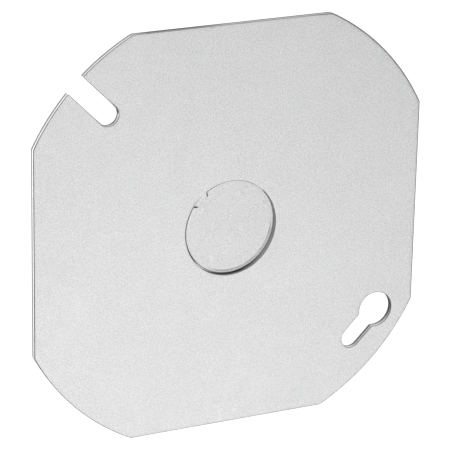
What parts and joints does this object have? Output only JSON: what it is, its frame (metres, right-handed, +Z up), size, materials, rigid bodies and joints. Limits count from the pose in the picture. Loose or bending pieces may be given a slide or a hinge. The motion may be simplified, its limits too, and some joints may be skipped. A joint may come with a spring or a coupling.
{
  "type": "electrical box cover plate",
  "caption": "Flat octagonal steel cover plate for an electrical box, with an open screw slot, a keyhole screw slot and a central round knockout held by one tie.",
  "frame": {"origin": "middle of the plate on its flat back face, which is the middle of the knockout hole", "axes": "+X to the right and +Z up as seen from the front of the plate; +Y from the front face through the plate into the box, so the back face is y = 0 and the front face is y = -1.5 mm"},
  "size_m": [0.094, 0.0025, 0.094],
  "materials": {
    "galvanised_steel": "satin, galvanised"
  },
  "bodies": {
    "cover": {"cover_plate": "galvanised_steel", "knockout_tie": "galvanised_steel"},
    "slug": {"knockout_slug": "galvanised_steel"}
  },
  "joints": [
    {"name": "knockout_hinge", "type": "hinge", "parent": "cover", "child": "slug", "pos_m": [-0.00785, 0, 0.00785], "axis": [0.7071, 0, 0.7071], "range_deg": [-2.6, 90], "deforming": ["knockout_tie"]}
  ]
}
